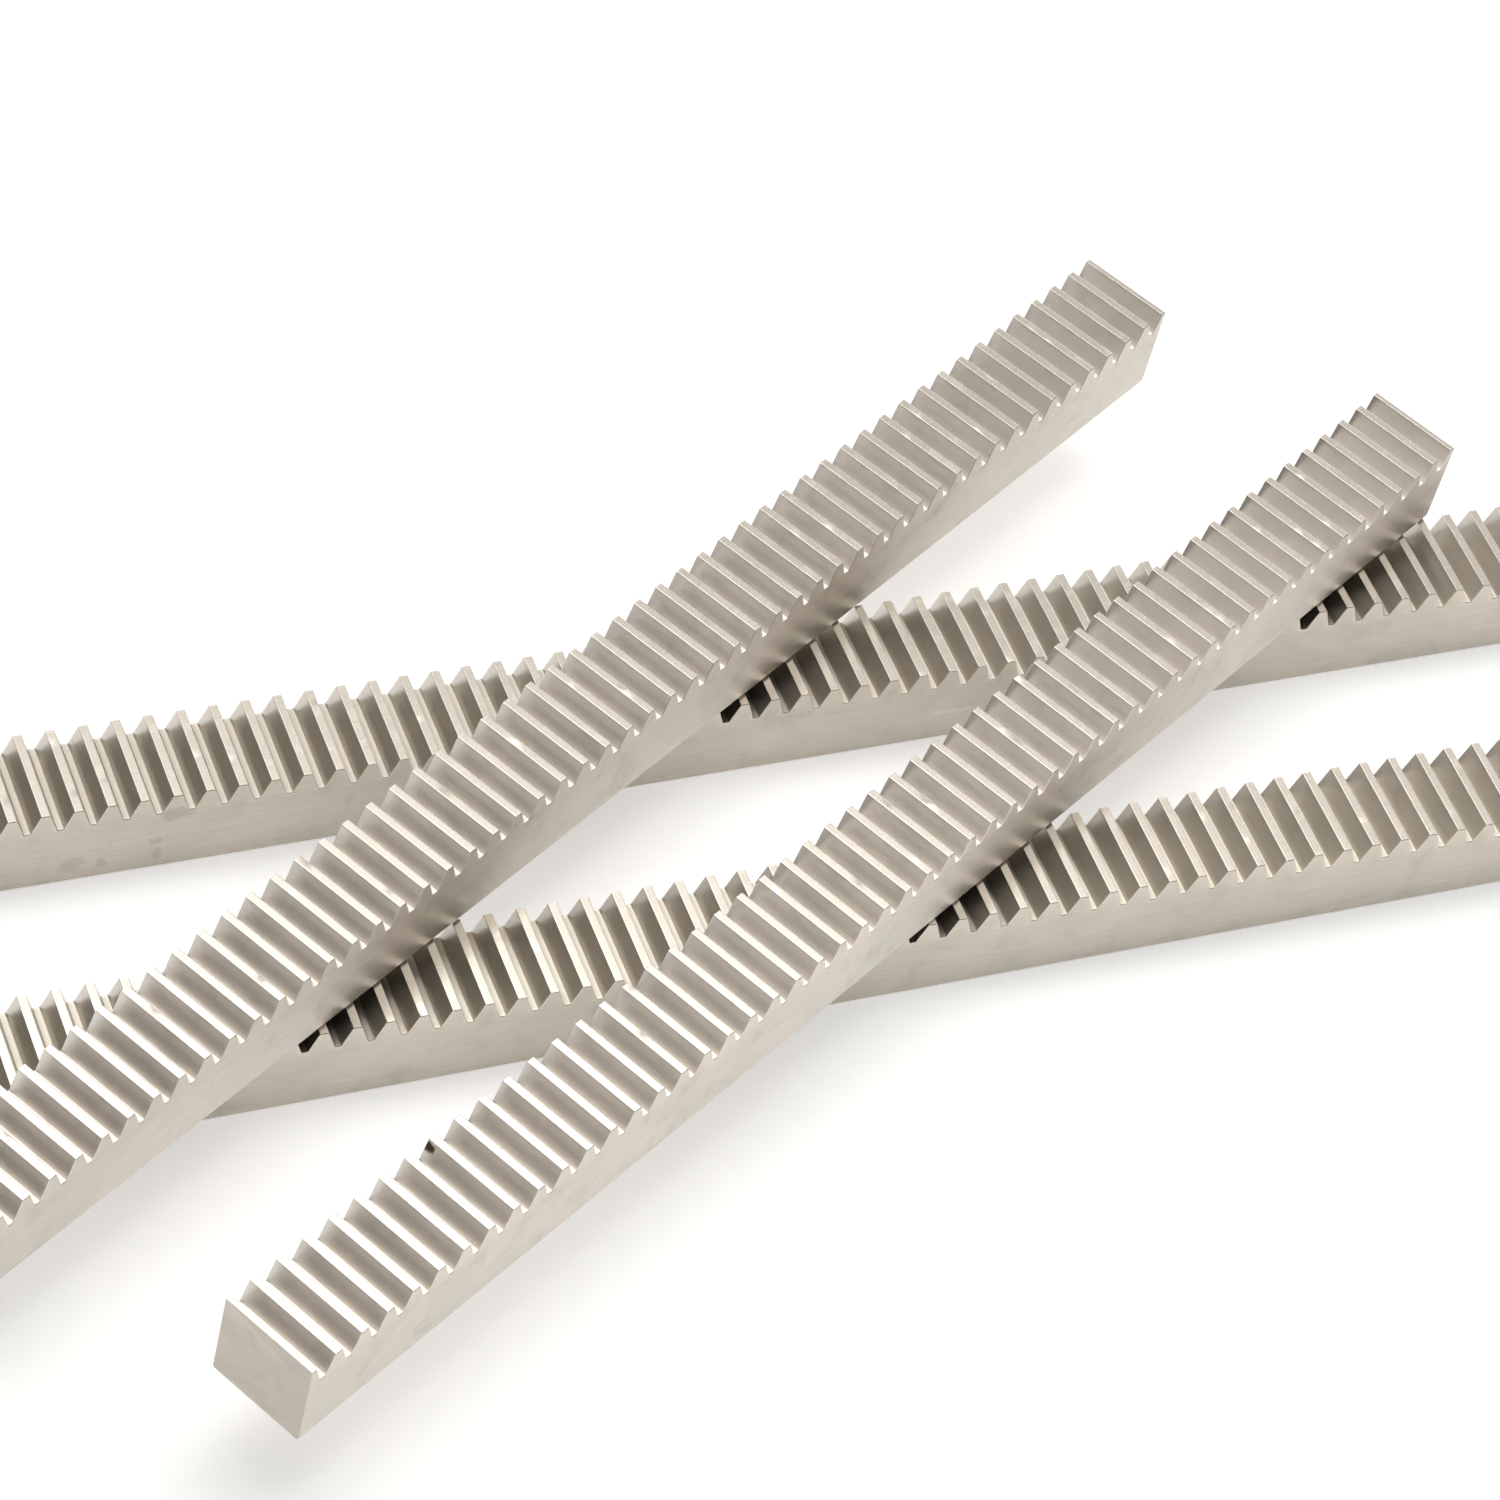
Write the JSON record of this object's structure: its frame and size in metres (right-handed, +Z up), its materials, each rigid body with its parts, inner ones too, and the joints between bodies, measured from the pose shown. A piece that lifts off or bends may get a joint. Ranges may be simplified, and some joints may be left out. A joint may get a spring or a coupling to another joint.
{
  "type": "gear rack stack",
  "caption": "Plain square steel gear racks with straight 20 degree teeth, laid loose in two crossed layers so that the upper bars rest on the tooth crests of the lower bars.",
  "frame": {"origin": "centre of the stack's footprint, on the surface that the lower racks lie on", "axes": "+X along both lower racks, +Y from the lower front rack to the lower back rack, +Z up, the way all teeth point"},
  "size_m": [0.276, 0.1678, 0.0303],
  "materials": {
    "lower_back_rack": "milled, matte, bare",
    "lower_front_rack": "milled, matte, bare",
    "upper_left_rack": "milled, matte, bare",
    "upper_right_rack": "milled, matte, bare"
  },
  "bodies": {
    "lower_front_rack": {"lower_front_rack": "lower_front_rack"},
    "lower_back_rack": {"lower_back_rack": "lower_back_rack"},
    "upper_left_rack": {"upper_left_rack": "upper_left_rack"},
    "upper_right_rack": {"upper_right_rack": "upper_right_rack"}
  },
  "joints": [
    {"name": "lower_back_rack_slide", "type": "slide", "parent": "lower_front_rack", "child": "lower_back_rack", "axis": [1, 0, 0], "range_m": [-0.02, 0.06]},
    {"name": "upper_left_rack_slide", "type": "slide", "parent": "lower_front_rack", "child": "upper_left_rack", "axis": [0.869, 0.4949, 0], "range_m": [-0.05, 0.02]},
    {"name": "upper_right_rack_slide", "type": "slide", "parent": "lower_front_rack", "child": "upper_right_rack", "axis": [0.8782, 0.4784, 0], "range_m": [-0.01, 0.08]}
  ]
}
